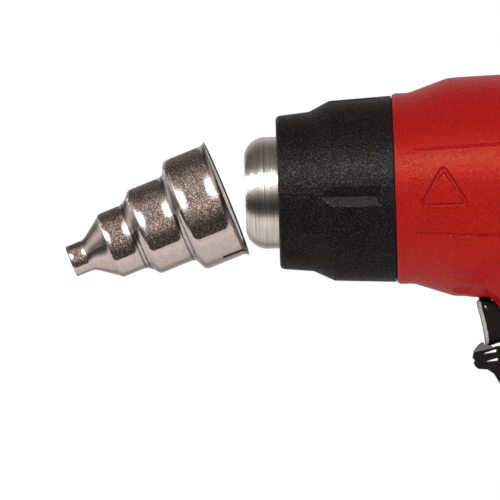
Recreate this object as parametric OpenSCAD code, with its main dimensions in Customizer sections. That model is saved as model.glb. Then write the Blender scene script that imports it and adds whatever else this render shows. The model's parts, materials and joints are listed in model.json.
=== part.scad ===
// Corded pistol-grip heat gun with a detached, stepped reducer nozzle.
// Millimetres. +X runs back along the barrel, +Z is up, and the left side is -Y.
// Places along the barrel are counted from its tip, and from_tip() moves them to the origin:
// the point on the barrel's axis in the plane of the guard's front face.

/* [Barrel] */
// Outside diameter of the spigot that takes the nozzles
spigot_d = 33.6; // [33.4:0.1:33.8]
// Corner radius of the barrel's rolled-in end
dome_r = 6.5; // [5:0.5:7]
// Diameter of the barrel's mouth
mouth_d = 23; // [22:0.5:26]
// Thickness of the barrel's sheet steel
barrel_sheet = 0.5; // [0.4:0.05:0.6]

/* [Nozzle] */
// Inside diameter of the nozzle's socket
socket_d = 34.4; // [34.3:0.1:34.6]
// Thickness of the nozzle's sheet steel
nozzle_sheet = 0.35; // [0.3:0.05:0.5]
// How far the nozzle leans nose-down as it comes off the barrel, in degrees
nozzle_tilt = 20.3; // [15:0.1:25]
// How far the loose nozzle is turned sideways, its mouth towards the left, in degrees
nozzle_yaw = 2.2; // [0:0.1:3]

/* [Guard] */
// Radius of the guard at its front edge
guard_front_r = 23; // [22.5:0.5:23]
// Radius of the guard at its rear edge
guard_rear_r = 28; // [27.5:0.5:28.5]
// Width of one V-shaped grip groove
groove_w = 6.2; // [5:0.2:7]
// Depth of one V-shaped grip groove
groove_deep = 1.8; // [1.2:0.2:2]
// Turn that unlocks the guard's bayonet, in degrees
guard_turn = 30; // [20:5:40]

/* [Housing] */
// Largest radius of the round motor housing
housing_r = 34.5; // [34:0.5:36]
// Wall thickness of the two housing shells
wall = 2.6; // [2.2:0.2:2.6]
// How far back the rear cap's standing face is from the barrel's tip
rear_x = 200; // [195:5:210]

/* [Handle] */
// Front-to-back depth of the handle
handle_d = 40; // [38:1:42]
// Side-to-side width of the handle
handle_w = 35; // [33:1:37]
// Lean of the handle, its foot to the rear, in degrees
rake = 8; // [6:1:9]
// Distance from the handle's top centre to its foot
handle_len = 125; // [125:1:130]

/* [Trigger] */
// Width of the trigger
trigger_w = 15.2; // [13:0.2:15.2]

/* [Hidden] */
eps = 1;                // overshoot of a cutter
origin_x = 10;          // the origin's distance behind the barrel's tip

// Barrel and heater
spigot_r = spigot_d / 2;
dome_c = spigot_r - dome_r;
mouth_r = mouth_d / 2;
swage_x = 21.5;         // the spigot's inner end
barrel_r = spigot_r + 0.6;
flange_x = 60;          // front face of the barrel's rolled flange
flange_r = 22;
sleeve_r = 16;          // mica insulation sleeve
sleeve_t = 0.6;
core_r = sleeve_r - sleeve_t - 0.05;
core_x = 12;
core_end = 57;
channel_ring = 8.6;     // circle that the six coil channels lie on
channel_r = 2.7;
vent_ring = 13;         // circle of the small outer vents
vent_r = 1.4;
coil_r = 2.2;

// Nozzle
nozzle_mouth = [-5.64, -1.29];
socket_r = socket_d / 2;
nozzle_r1 = socket_r + nozzle_sheet;

// Guard and bayonet
guard_x = 9.9;
guard_end = 44.45;
guard_edge = 1.8;
guard_mouth_r = 19.4;
guard_bore_r = 24;
groove_x = 25.5;
groove_end = 39;
groove_angle = 94.5;    // the first groove is a little below the left side
collar_r = 23.6;
collar_x = 31;
lug_x = 36;
lug_w = 2.4;
lug_deg = 24;
lug_r = 22.3;
lug_gap = 0.4;

// Housing
nose_x = 44.85;
nose_r = 28.7;
nose_edge = 1.5;
cone_x0 = 50;
cone_x1 = 62;
cone_r = 32.8;
housing_end = 170;
groove_depth = 0.8;     // depth of the panel lines and the raised triangle's channel
screw_z = 27.5;
body_screws = [[74, screw_z], [132, screw_z], [132, -screw_z]];
handle_screws = [[0, -41], [0, -94]];
boss_r = 2.8;
handle_boss_r = 4.4;
screw_r = 1.35;
screw_seat = 10;

// Handle
handle_top = [94, -36];
handle_round = 15;
foot_h = 13;
foot_grow = 4;
neck_lo = 1;
neck_hi = 9;
neck_grow = 10;
grip_in = 1.4;          // how deep the soft grips sit in the shells
grip_out = 1.2;         // how far they stand proud
grip_top = -14;
grip_end = -108;
nose_half_w = 9.5;
cheek_y = 7.9;          // inner face of the finger stop's cheeks, beside the trigger's foot
nose_slits = [[[-26.8, -11.05], [-21.5, -10.25], [-21.5, -11.25]], [[-26, -13.45], [-21.5, -12.9], [-21.5, -13.9]]];
gland_bore_r = 3.65;
gland_r = 6.1;
gland_flange_r = 7.5;
eye_x = 28;
eye_r = 3.2;
eye_half_w = 5;

// Trigger and switch
pivot = [71.2, -36.4];
pin_r = 0.75;
running = 0.05;         // radial clearance of a turning fit
tongue_r = 1.9;
tongue_half_w = 3;
window_half_w = 8;
window_z = [-49.4, -33.4];
plunger_r = 2.2;
plunger_z = -44;
plunger_tip = 82.4;

// Duct, fan and motor
duct_wall = 1.5;
duct_r = 24.5;
duct_fan_r = 29.5;
duct_end = 163;
bolt_ring = 24.5;
shaft_r = 1.6;
fan_r = 26.5;
fan_hub_r = 6;
fan_blades = 9;
can_r = 17.5;
can_x = 98;
can_end = 140;
bush_r = 4;

// Points along an arc, for outlines.
function arc(cx, cy, r, a0, a1, n = 8) =
    [for (i = [0:n]) let (a = a0 + (a1 - a0) * i / n) [cx + r * cos(a), cy + r * sin(a)]];
function backwards(list) = [for (i = [len(list) - 1:-1:0]) list[i]];
function shifted(list, by) = [for (p = list) p + by];

// Moves places counted from the barrel's tip to the origin.
module from_tip() { translate([-origin_x, 0, 0]) children(); }

// Turns an outline of [radius, place along the barrel] round the barrel's axis.
module lathe() { rotate([0, 90, 0]) rotate_extrude($fn = 96) children(); }

// A ring or tube round the barrel's axis.
module ring(x0, x1, r_in, r_out) {
    lathe() translate([r_in, x0]) square([r_out - r_in, x1 - x0]);
}

// A cylinder that lies along X.
module along_x(x0, x1, r) {
    translate([x0, 0, 0]) rotate([0, 90, 0]) cylinder(h = x1 - x0, r = r, $fn = 64);
}

// A cylinder that lies along Y, at a place in the side view.
module across(x, z, y0, y1, r) {
    translate([x, y0, z]) rotate([-90, 0, 0]) cylinder(h = y1 - y0, r = r, $fn = 48);
}

// Extrudes an outline in the side view from one side to the other.
module side_view(y0, y1) {
    translate([0, y1, 0]) rotate([90, 0, 0]) linear_extrude(y1 - y0) children();
}

// Copies children round the barrel's axis.
module around(count, first = 0) {
    for (i = [0:count - 1]) rotate([first + i * 360 / count, 0, 0]) children();
}

// The handle's own frame: its origin is the top centre, and -Z runs down to the foot.
module in_handle() { translate([handle_top[0], 0, handle_top[1]]) rotate([0, -rake, 0]) children(); }

// ---- Nozzle

// Outer outline of the nozzle as [radius, distance from its mouth].
function nozzle_outline() = concat(
    [[nozzle_r1 + 0.95, 0], [nozzle_r1 + 0.35, 0.5], [nozzle_r1, 1.3]],
    arc(nozzle_r1 - 2, 12.3, 2, 0, 70),
    [[14, 15.2], [13.5, 16.2]],
    arc(11.5, 25.8, 2, 0, 70),
    [[10.7, 29.4], [10.2, 30.6]],
    arc(8.7, 37, 1.5, 0, 60),
    [[5.3, 44.2], [4.8, 45.2], [4.8, 50.4]]
);

module reducer_nozzle() {
    outer = nozzle_outline();
    inner = shifted([for (i = [1:len(outer) - 2]) outer[i]], [-nozzle_sheet, -nozzle_sheet]);
    slit = 0.5;
    slit_len = 7.2;
    color("rosybrown")
    translate([nozzle_mouth[0], 0, nozzle_mouth[1]])
    rotate([0, 0, -nozzle_yaw])
    rotate([0, -90 - nozzle_tilt, 0])
    difference() {
        rotate_extrude($fn = 96) polygon(concat(
            outer,
            [[4.8 - nozzle_sheet, 50.4]],
            backwards(inner),
            [[nozzle_r1 + 0.95 - nozzle_sheet, 0]]
        ));
        rotate([0, 0, 200]) translate([15, -slit / 2, -eps]) cube([5, slit, slit_len + eps]);
    }
}

// ---- Barrel and heater

// Angle at which the rolled end of the given radius reaches the mouth.
function mouth_angle(r) = acos((mouth_r - dome_c) / r);

module barrel_tube() {
    inner_dome = dome_r - barrel_sheet;
    color("silver")
    lathe() polygon(concat(
        arc(dome_c, dome_r, dome_r, -mouth_angle(dome_r), 0),
        [
            [spigot_r, swage_x],
            [barrel_r, swage_x + 1],
            [barrel_r, flange_x],
            [flange_r, flange_x],
            [flange_r, flange_x + barrel_sheet],
            [barrel_r - barrel_sheet, flange_x + barrel_sheet],
            [barrel_r - barrel_sheet, swage_x + 1],
            [spigot_r - barrel_sheet, swage_x]
        ],
        backwards(arc(dome_c, dome_r, inner_dome, -mouth_angle(inner_dome), 0))
    ));
}

// The three screws' places round the flange.
module at_bolts() { around(3) translate([0, 0, bolt_ring]) children(); }

module flange_ring() {
    color("gainsboro")
    difference() {
        ring(flange_x - 1.2, flange_x, barrel_r, 27);
        at_bolts() along_x(flange_x - 2, flange_x + 1, 1.6);
    }
}

module flange_gasket() {
    color("dimgray")
    difference() {
        ring(flange_x + barrel_sheet, flange_x + 1.3, barrel_r, 27);
        at_bolts() along_x(flange_x, flange_x + 2, 1.6);
    }
}

module flange_screws() {
    color("silver")
    at_bolts() {
        along_x(flange_x - 3.2, flange_x - 1.2, 2.6);
        along_x(flange_x - 1.2, flange_x + 7, 1.45);
    }
}

module insulation_sleeve() {
    color("wheat") ring(8, flange_x - 0.5, sleeve_r - sleeve_t, sleeve_r);
}

module heater_core() {
    color("ivory")
    difference() {
        along_x(core_x, core_end, core_r);
        along_x(core_x - eps, core_end + eps, 2);
        around(6) translate([0, 0, channel_ring]) along_x(core_x - eps, core_end + eps, channel_r);
        around(12, 15) translate([0, 0, vent_ring]) along_x(core_x - eps, core_end + eps, vent_r);
    }
}

module heating_coil() {
    link_r = 0.5;
    front_x = core_x - link_r - 0.1;
    back_x = core_end + link_r + 0.1;
    color("peru") {
        around(6) translate([0, 0, channel_ring]) difference() {
            along_x(front_x - link_r, back_x + link_r, coil_r);
            along_x(front_x + link_r, back_x - link_r, coil_r - 0.7);
        }
        for (i = [0:5]) if (i < 5) rotate([i * 60, 0, 0])
            translate([i % 2 == 0 ? front_x : back_x, 0, channel_ring])
            rotate([120, 0, 0]) translate([0, 0, coil_r / 2])
            cylinder(h = channel_ring - coil_r, r = link_r, $fn = 24);
    }
}

module heater_base() {
    color("linen")
    difference() {
        along_x(core_end + 1.4, core_end + 2.6, core_r - 0.1);
        along_x(core_end, core_end + 4, 2);
        around(6) translate([0, 0, channel_ring]) along_x(core_end, core_end + 4, channel_r);
    }
}

module thermal_cutout() {
    color("darkgray") {
        translate([0, 0, -9.5]) along_x(65, 69, 5);
        translate([core_end + 2.6, -3, -14.5]) cube([65 - core_end - 2.6, 6, 1]);
        translate([64, -3, -14.5]) cube([1, 6, 8]);
    }
}

// ---- Guard

// One V-shaped trough along the top of the guard, its rear end sloped up to the surface.
module guard_groove() {
    slope = atan((guard_rear_r - 27.1) / (guard_end - 26.3));
    floor_r = 27.1 - groove_deep;
    flank = 3;
    translate([groove_x, 0, floor_r]) rotate([0, -slope, 0]) difference() {
        translate([-8, 0, 0]) rotate([90, 0, 90]) linear_extrude(24) polygon([
            [0, 0],
            [flank * groove_w / 2, flank * groove_deep],
            [-flank * groove_w / 2, flank * groove_deep]
        ]);
        translate([groove_end - groove_x, -15, 0]) rotate([0, 42, 0]) translate([0, 0, -5])
            cube([10, 30, 30]);
    }
}

module guard_sleeve() {
    color("#201d1e") {
        difference() {
            lathe() polygon(concat(
                arc(guard_front_r - guard_edge, guard_x + guard_edge, guard_edge, -90, 0, 5),
                [
                    [guard_front_r + 1, 20],
                    [27.1, 26.3],
                    [guard_rear_r, guard_end],
                    [guard_bore_r, guard_end],
                    [guard_bore_r, 28.5],
                    [21.4, 24],
                    [21.4, 14],
                    [guard_mouth_r, 12]
                ],
                arc(guard_mouth_r + 0.8, guard_x + 0.8, 0.8, 180, 270, 4)
            ));
            around(4, groove_angle) guard_groove();
        }
        bayonet_lugs();
    }
}

// Three lugs that stand in from the guard's bore.
module bayonet_lugs() {
    rotate([0, 90, 0]) for (i = [0:2]) rotate([0, 0, i * 120])
        rotate_extrude(angle = lug_deg, $fn = 96)
        translate([lug_r, lug_x]) square([guard_bore_r + 0.5 - lug_r, lug_w]);
}

module bayonet_collar() {
    swing = lug_deg + guard_turn + 4;
    entry = lug_deg + 4;
    groove_r = lug_r - lug_gap;
    color("#2a2728")
    difference() {
        union() {
            ring(collar_x, nose_x + wall + 2.2, 19.6, collar_r);
            ring(nose_x + wall + 0.2, nose_x + wall + 2.2, 19.6, 24.6);
        }
        rotate([0, 90, 0]) for (i = [0:2]) rotate([0, 0, i * 120 - guard_turn - 2]) {
            rotate_extrude(angle = swing, $fn = 96)
                translate([groove_r, lug_x - lug_gap]) square([4, lug_w + 2 * lug_gap]);
            rotate_extrude(angle = entry, $fn = 96)
                translate([groove_r, collar_x - eps]) square([4, lug_x - collar_x + eps]);
        }
    }
}

// ---- Housing

// The round housing as one solid, shrunk all round by inset and ending at end_x.
module housing_solid(inset, end_x) {
    lathe() polygon([
        [0, nose_x + inset],
        [nose_r - nose_edge - inset, nose_x + inset],
        [nose_r - 0.45 - inset, nose_x + 0.45 + inset],
        [nose_r - inset, nose_x + nose_edge + inset],
        [nose_r - inset, cone_x0],
        [cone_r - inset, cone_x1],
        [cone_r + 0.2 - inset, cone_x1 + 4],
        [housing_r - inset, 120],
        [housing_r - inset, end_x],
        [0, end_x]
    ]);
}

// A rounded rectangle made of true arcs.
module section(d, w, r) {
    for (sx = [-1, 1], sy = [-1, 1]) translate([sx * (d / 2 - r), sy * (w / 2 - r)]) circle(r = r, $fn = 48);
    square([d - 2 * r, w], center = true);
    square([d, w - 2 * r], center = true);
}

// The handle's section, shrunk all round by inset and wider by grow, from z0 up to z1.
module handle_block(inset, grow, z0, z1) {
    translate([0, 0, z0]) linear_extrude(z1 - z0)
        section(handle_d + grow - 2 * inset, handle_w + grow - 2 * inset, handle_round + grow / 2 - inset);
}

// The neck that flares from the handle into the housing.
module neck(inset) {
    hull() {
        handle_block(inset, 0, neck_lo, neck_lo + 0.1, $fn = 32);
        handle_block(inset, neck_grow, neck_hi, neck_hi + 3, $fn = 32);
    }
}

// The whole handle as one solid, shrunk all round by inset.
module handle_solid(inset) {
    in_handle() {
        handle_block(inset, 0, -handle_len + inset, neck_lo + 0.1);
        handle_block(inset, foot_grow, -handle_len + inset, -handle_len + foot_h - inset);
        neck(inset);
    }
}

// The band that a soft grip fills: from in_by under the surface to out_by above it.
module grip_band(z0, z1) {
    translate([0, 0, z0]) linear_extrude(z1 - z0) difference() {
        section(handle_d + 2 * grip_out, handle_w + 2 * grip_out, handle_round + grip_out);
        section(handle_d - 2 * grip_in, handle_w - 2 * grip_in, handle_round - grip_in);
    }
}

// Outline of the finger stop at the top of the front grip, in the handle's side view.
module nose_outline() {
    polygon([
        [-17, -9.7], [-21.5, -9.5], [-22.6, -9.8], [-24.4, -10.15], [-24.75, -9.6], [-25, -7.65],
        [-25.4, -7.6], [-26.3, -8.05], [-27.4, -9],
        [-28.3, -9.9], [-29, -11.7], [-28.4, -12.6], [-28.9, -13.3], [-28.7, -14.2], [-28, -15.2],
        [-25.2, -15.9], [-23.4, -17.6], [-22.1, -21], [-21.2, -26], [-17, -26]
    ]);
}

// Outline of the cheeks that stand up on both sides of the trigger's foot.
module cheek_outline() {
    polygon([[-26, -10.5], [-26, -8.6], [-25, -8.3], [-23.8, -8.6], [-22.6, -9.5], [-22, -10.2]]);
}

module front_grip_block() {
    intersection() {
        grip_band(grip_end, grip_top);
        translate([-30, -30, grip_end - eps]) cube([20, 60, grip_top - grip_end + 2 * eps]);
    }
    difference() {
        union() {
            side_view(-nose_half_w, nose_half_w) nose_outline();
            for (side = [-1, 1]) translate([0, side * (nose_half_w + cheek_y) / 2, 0])
                side_view(-(nose_half_w - cheek_y) / 2, (nose_half_w - cheek_y) / 2) cheek_outline();
        }
        handle_block(grip_in, 0, -40, 0);
    }
}

module rear_grip_block() {
    intersection() {
        grip_band(grip_end, grip_top);
        translate([10, -30, grip_end - eps]) cube([20, 60, grip_top - grip_end + 2 * eps]);
    }
}

module front_grip() {
    color("#161415") in_handle() difference() {
        front_grip_block();
        for (slit = nose_slits) side_view(-10, 10) polygon(slit);
        for (i = [0:15]) translate([-22.5, -6, -34 - 4.4 * i]) cube([1.9, 12, 1.2]);
    }
}

module rear_grip() {
    color("#161415") in_handle() difference() {
        rear_grip_block();
        for (i = [0:17]) translate([20.6, -6, -25 - 4.4 * i]) cube([1.9, 12, 1.2]);
    }
}

// The cord's gland, a rubber ring that clips into the foot.
module cord_gland() {
    z = -handle_len;
    color("#161415") in_handle() difference() {
        union() {
            translate([0, 0, z - 2]) cylinder(h = 2, r = gland_flange_r, $fn = 64);
            translate([0, 0, z - 1]) cylinder(h = wall + 2, r = gland_r, $fn = 64);
            translate([0, 0, z + wall]) cylinder(h = 4.4, r = gland_flange_r, $fn = 64);
        }
        translate([0, 0, z - 3]) cylinder(h = 12, r = gland_bore_r, $fn = 64);
    }
}

// The rounded triangle on each side of the housing, as an outline grown by grow.
module triangle_outline(grow) {
    corner = 1.3 + grow;
    corners = [[54.2, -4.7], [65.1, -4.7], [59.6, 4.4]];
    hull() for (c = corners) translate(c) circle(r = corner, $fn = 24);
}

// What is cut from the housing's surface: a channel round the triangle and two panel lines.
module surface_lines() {
    difference() {
        union() {
            side_view(-40, 40) difference() {
                triangle_outline(0);
                triangle_outline(-0.9);
            }
            side_view(-40, 40) polygon([[51.3, 11.3], [160, 13.8], [160, 14.6], [51.3, 12]]);
            side_view(-40, 40) polygon([[51.3, -13.9], [160, -20.7], [160, -19.9], [51.3, -13.2]]);
        }
        housing_solid(groove_depth, housing_end + eps);
    }
}

// One half of the housing: side is -1 for the left shell and 1 for the right one.
module housing_shell(side) {
    difference() {
        union() {
            difference() {
                union() {
                    housing_solid(0, housing_end);
                    handle_solid(0);
                }
                housing_solid(wall, housing_end + eps);
                handle_solid(wall);
                surface_lines();
                in_handle() front_grip_block();
                in_handle() rear_grip_block();
                window();
            }
            bosses();
            tongue();
            in_handle() hanging_eye();
        }
        along_x(nose_x - eps, nose_x + wall + eps, collar_r + 0.1);
        across(pivot[0], pivot[1], -9, 9, pin_r);
        in_handle() translate([0, 0, -handle_len - eps]) cylinder(h = wall + 2 * eps, r = gland_r, $fn = 64);
        in_handle() across(eye_x, -handle_len + foot_h / 2, -9, 9, eye_r);
        screw_holes();
        translate([-50, side > 0 ? -100 : 0, -250]) cube([350, 100, 350]);
    }
}

// The opening in the handle's front that the trigger moves in.
module window() {
    translate([64, -window_half_w, window_z[0]])
        cube([26, 2 * window_half_w, window_z[1] - window_z[0]]);
}

// The tongue under the housing that carries the trigger's pin.
module tongue() {
    across(pivot[0], pivot[1], -tongue_half_w, tongue_half_w, tongue_r);
    translate([pivot[0] - tongue_r, -tongue_half_w, pivot[1]])
        cube([2 * tongue_r, 2 * tongue_half_w, 5]);
}

// The bosses that the housing screws pass through.
module bosses() {
    for (p = body_screws) across(p[0], p[1], -15, 15, boss_r);
    in_handle() for (p = handle_screws) across(p[0], p[1], -15.8, 15.8, handle_boss_r);
}

// Places a child at each housing screw, with Y along the screw.
module at_screws() {
    for (p = body_screws) translate([p[0], 0, p[1]]) children();
    in_handle() for (p = handle_screws) translate([p[0], 0, p[1]]) children();
}

module screw_holes() {
    at_screws() {
        across(0, 0, -8, screw_seat + eps, screw_r);
        across(0, 0, screw_seat, 30, 3);
    }
}

module hanging_eye() {
    across(eye_x, -handle_len + foot_h / 2, -eye_half_w, eye_half_w, foot_h / 2);
    translate([20.5, -eye_half_w, -handle_len]) cube([eye_x - 20.5, 2 * eye_half_w, foot_h]);
}

module housing_left() { color("firebrick") housing_shell(-1); }

module housing_right() { color("firebrick") housing_shell(1); }

module housing_screws() {
    color("dimgray") at_screws() {
        across(0, 0, -8, screw_seat, screw_r);
        difference() {
            across(0, 0, screw_seat, screw_seat + 2, 2.8);
            translate([-2, screw_seat + 1.2, -0.4]) cube([4, 2, 0.8]);
            translate([-0.4, screw_seat + 1.2, -2]) cube([0.8, 2, 4]);
        }
    }
}

module rear_cap() {
    back_r = 29;
    inner_r = 28;
    color("#201d1e") difference() {
        lathe() polygon(concat(
            [[29.7, housing_end - 6.5], [31.2, housing_end - 6.5], [31.2, housing_end + 0.3]],
            [[housing_r - 0.2, housing_end + 0.3], [housing_r, housing_end + 0.8], [housing_r - 0.6, rear_x - 12]],
            arc(back_r - 2, rear_x - 2, 2, 0, 90, 4),
            [[0, rear_x], [0, rear_x - 2.4], [back_r - 3.5, rear_x - 2.4]],
            [[housing_r - 3.4, rear_x - 13], [housing_r - 3, housing_end + 2], [29.7, housing_end + 2]]
        ));
        around(18) translate([rear_x - 26, -1.4, 24]) cube([15, 2.8, 20]);
        around(12, 15) translate([rear_x - 4, -1.5, 14]) cube([6, 3, 9.5]);
        around(6) translate([rear_x - 4, -1.5, 4.5]) cube([6, 3, 7]);
    }
}

module intake_screen() {
    color("gray") difference() {
        along_x(housing_end + 2.2, housing_end + 2.8, 31);
        for (k = [1:4]) around(6 * k) translate([0, 0, 6.6 * k]) along_x(housing_end, housing_end + 5, 2);
    }
}

// ---- Duct, fan and motor

module air_duct() {
    front = flange_x + 1.3;
    color("darkslategray")
    difference() {
        union() {
            lathe() polygon([
                [16.9, front],
                [27, front],
                [27, front + 2],
                [19, front + 2],
                [duct_r, 76],
                [duct_r, 138],
                [duct_fan_r, 143],
                [duct_fan_r, duct_end],
                [duct_fan_r - duct_wall, duct_end],
                [duct_fan_r - duct_wall, 143.6],
                [duct_r - duct_wall, 138.6],
                [duct_r - duct_wall, 76.4],
                [16.9, front + 1.5]
            ]);
            at_bolts() along_x(front + 1, front + 7, 3);
        }
        at_bolts() along_x(front - eps, flange_x + 7, 1.45);
    }
}

module fan_impeller() {
    x0 = 146;
    x1 = 158;
    color("#2c2c2e") difference() {
        union() {
            along_x(x0, x1, fan_hub_r);
            intersection() {
                around(fan_blades) translate([(x0 + x1) / 2, 0, fan_r / 2 + 1])
                    rotate([0, 0, 38]) cube([13.5, 1.2, fan_r], center = true);
                ring(x0, x1, fan_hub_r - 0.5, fan_r);
            }
        }
        along_x(x0 - eps, x1 + eps, shaft_r);
    }
}

module motor_can() {
    color("silver") difference() {
        along_x(can_x, can_end, can_r);
        along_x(can_x - eps, can_end - 1.5, can_r - 1.5);
        along_x(can_end - 2, can_end + eps, bush_r);
        around(4, 45) translate([0, 0, 10.5]) along_x(can_end - 2, can_end + eps, 2.2);
    }
}

module motor_magnets() {
    color("dimgray") difference() {
        ring(104, 134, 13.9, can_r - 1.5);
        translate([100, -6, -20]) cube([40, 12, 40]);
    }
}

module motor_end_cap() {
    color("tan") difference() {
        union() {
            along_x(can_x - 4, can_x, can_r);
            for (s = [-1, 1]) translate([can_x - 1, s * 8.5 - 3.5, -2.5]) cube([5, 7, 5]);
        }
        along_x(can_x - 5, can_x + eps, bush_r);
        around(4, 45) translate([0, 0, 11]) along_x(can_x - 5, can_x + eps, 2.4);
    }
}

module armature() {
    color("chocolate") difference() {
        along_x(107, 131, 13.2);
        along_x(106, 132, shaft_r);
        around(5) translate([106, -1, 7]) cube([26, 2, 8]);
    }
}

module commutator() {
    color("peru") difference() {
        along_x(99, 106, 4.2);
        along_x(98, 107, shaft_r);
        around(3) translate([98, -0.25, 3.4]) cube([6, 0.5, 2]);
    }
}

module motor_shaft() { color("silver") along_x(91, 159, shaft_r); }

module shaft_bushes() {
    color("goldenrod") {
        ring(can_x - 4.5, can_x - 0.3, shaft_r + running, bush_r);
        ring(can_end - 2.5, can_end + 0.8, shaft_r + running, bush_r);
    }
}

module motor_bracket() {
    color("gainsboro") {
        ring(112, 124, can_r, 19);
        intersection() {
            around(6, 30) translate([112, -0.7, 18.5]) cube([12, 1.4, 8]);
            along_x(111, 125, duct_r - duct_wall);
        }
    }
}

// ---- Switch and wiring

module rectifier_board() {
    in_handle() {
        color("seagreen") translate([-10, 5, -86]) cube([20, 1.6, 36]);
        color("black") for (i = [0:3]) translate([-8 + 4.4 * i, 1, -60]) cube([3, 4, 5]);
        color("navy") across(-3, -75, -6, 5, 5);
        color("gold") translate([4, -1, -80]) cube([5, 6, 12]);
    }
}

module terminal_block() {
    color("ivory") in_handle() difference() {
        translate([-9, -5, -108]) cube([18, 10, 9]);
        for (x = [-5, 0, 5]) translate([x, 0, -110]) cylinder(h = 13, r = 1.5, $fn = 24);
        for (x = [-5, 0, 5]) across(x, -103.5, -6, 0, 1.2);
    }
}

module cord_clamp() {
    color("#2c2c2e") in_handle() difference() {
        translate([-10.5, -7, -116]) cube([21, 2.6, 5]);
        for (x = [-7.6, 7.6]) across(x, -113.5, -8, 0, screw_r);
    }
}

module clamp_screws() {
    color("silver") in_handle() for (x = [-7.6, 7.6]) {
        across(x, -113.5, -9, -7, 2.4);
        across(x, -113.5, -7, 3, screw_r);
    }
}

// Outline of the trigger in the side view.
module trigger_outline() {
    polygon([
        [68.85, -36.7], [70.7, -46.6], [71, -47.95], [71.7, -48.3], [73.2, -47.8], [74.8, -47.3],
        [81, -46.9], [82, -45.9], [82, -38.4], [80, -37.2], [72.4, -34.1], [71.2, -33.8],
        [69.9, -33.85], [69.1, -34.3], [68.75, -35]
    ]);
}

module trigger() {
    half = trigger_w / 2;
    slot = tongue_half_w + 0.4;
    color("#3a3839") difference() {
        side_view(-half, half) trigger_outline();
        across(pivot[0], pivot[1], -half - eps, half + eps, pin_r + running);
        across(pivot[0], pivot[1], -slot, slot, tongue_r + 0.5);
        translate([66, -slot, pivot[1]]) cube([8.4, 2 * slot, 5]);
        translate([74.5, -half + 1.6, -50]) cube([5, trigger_w - 3.2, 9]);
    }
}

module trigger_pin() {
    color("silver") across(pivot[0], pivot[1], -trigger_w / 2, trigger_w / 2, pin_r);
}

module switch_body() {
    color("#1c1c1e") difference() {
        translate([86.5, -8, -58]) cube([19.5, 16, 21]);
        translate([0, 0, plunger_z]) along_x(86, 98, plunger_r + 0.08);
        for (z = [-56, -52, -48]) translate([104.6, -3, z]) cube([2, 6, 0.9]);
    }
}

module switch_plunger() {
    tip = plunger_r;
    color("white") translate([0, 0, plunger_z]) lathe() polygon(concat(
        arc(0, plunger_tip + tip, tip, -90, 0, 6),
        [[tip, 95], [0, 95]]
    ));
}

from_tip() reducer_nozzle();
from_tip() barrel_tube();
from_tip() flange_ring();
from_tip() flange_gasket();
from_tip() flange_screws();
from_tip() insulation_sleeve();
from_tip() heater_core();
from_tip() heating_coil();
from_tip() heater_base();
from_tip() thermal_cutout();
from_tip() guard_sleeve();
from_tip() bayonet_collar();
from_tip() housing_left();
from_tip() housing_right();
from_tip() housing_screws();
from_tip() rear_cap();
from_tip() intake_screen();
from_tip() air_duct();
from_tip() fan_impeller();
from_tip() motor_can();
from_tip() motor_magnets();
from_tip() motor_end_cap();
from_tip() armature();
from_tip() commutator();
from_tip() motor_shaft();
from_tip() shaft_bushes();
from_tip() motor_bracket();
from_tip() rectifier_board();
from_tip() terminal_block();
from_tip() trigger();
from_tip() trigger_pin();
from_tip() switch_body();
from_tip() switch_plunger();
from_tip() front_grip();
from_tip() rear_grip();
from_tip() cord_gland();
from_tip() cord_clamp();
from_tip() clamp_screws();
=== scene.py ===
"""Pistol-grip heat gun with a detached reducer nozzle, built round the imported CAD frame.

Shapes are written in millimetres, with X counted back from the barrel's tip and Z up from the
barrel's axis. The camera side, the gun's left, is -Y. to_row() moves them to the frame's metres.
"""
import functools
import json
import math

import bmesh
import bpy
import numpy as np
from mathutils import Matrix, Vector


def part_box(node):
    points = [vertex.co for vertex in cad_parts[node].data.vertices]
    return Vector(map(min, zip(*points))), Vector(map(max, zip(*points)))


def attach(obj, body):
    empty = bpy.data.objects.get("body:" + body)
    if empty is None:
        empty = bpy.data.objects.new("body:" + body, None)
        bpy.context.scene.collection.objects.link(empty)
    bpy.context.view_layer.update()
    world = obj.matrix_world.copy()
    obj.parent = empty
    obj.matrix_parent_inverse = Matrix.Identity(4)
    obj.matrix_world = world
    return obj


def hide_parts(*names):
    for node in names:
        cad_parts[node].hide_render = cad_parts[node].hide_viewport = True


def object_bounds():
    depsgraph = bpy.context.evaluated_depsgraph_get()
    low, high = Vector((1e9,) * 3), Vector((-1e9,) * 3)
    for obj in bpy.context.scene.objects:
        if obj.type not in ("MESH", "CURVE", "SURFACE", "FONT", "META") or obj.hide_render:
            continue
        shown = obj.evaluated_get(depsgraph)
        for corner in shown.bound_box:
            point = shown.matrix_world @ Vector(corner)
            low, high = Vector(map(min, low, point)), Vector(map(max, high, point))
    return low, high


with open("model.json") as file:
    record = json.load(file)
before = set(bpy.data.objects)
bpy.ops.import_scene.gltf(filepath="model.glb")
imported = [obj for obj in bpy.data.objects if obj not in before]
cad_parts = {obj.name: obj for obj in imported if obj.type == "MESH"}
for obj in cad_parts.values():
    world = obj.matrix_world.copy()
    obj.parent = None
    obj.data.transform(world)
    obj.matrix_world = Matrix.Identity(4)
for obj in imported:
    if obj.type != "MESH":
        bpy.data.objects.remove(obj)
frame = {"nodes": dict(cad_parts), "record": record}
cad_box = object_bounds()

MM = 0.001
TIP_X = -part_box("barrel_tube")[0][0] / MM      # the origin lies this far behind the barrel's tip

# Barrel, in mm
SPIGOT_R = 16.8
BARREL_R = 17.4
DOME_R = 6.5
MOUTH_R = 11.5
SHEET = 0.5
SWAGE_X = 21.5
FLANGE_X = 60.0
FLANGE_R = 22.0

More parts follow.
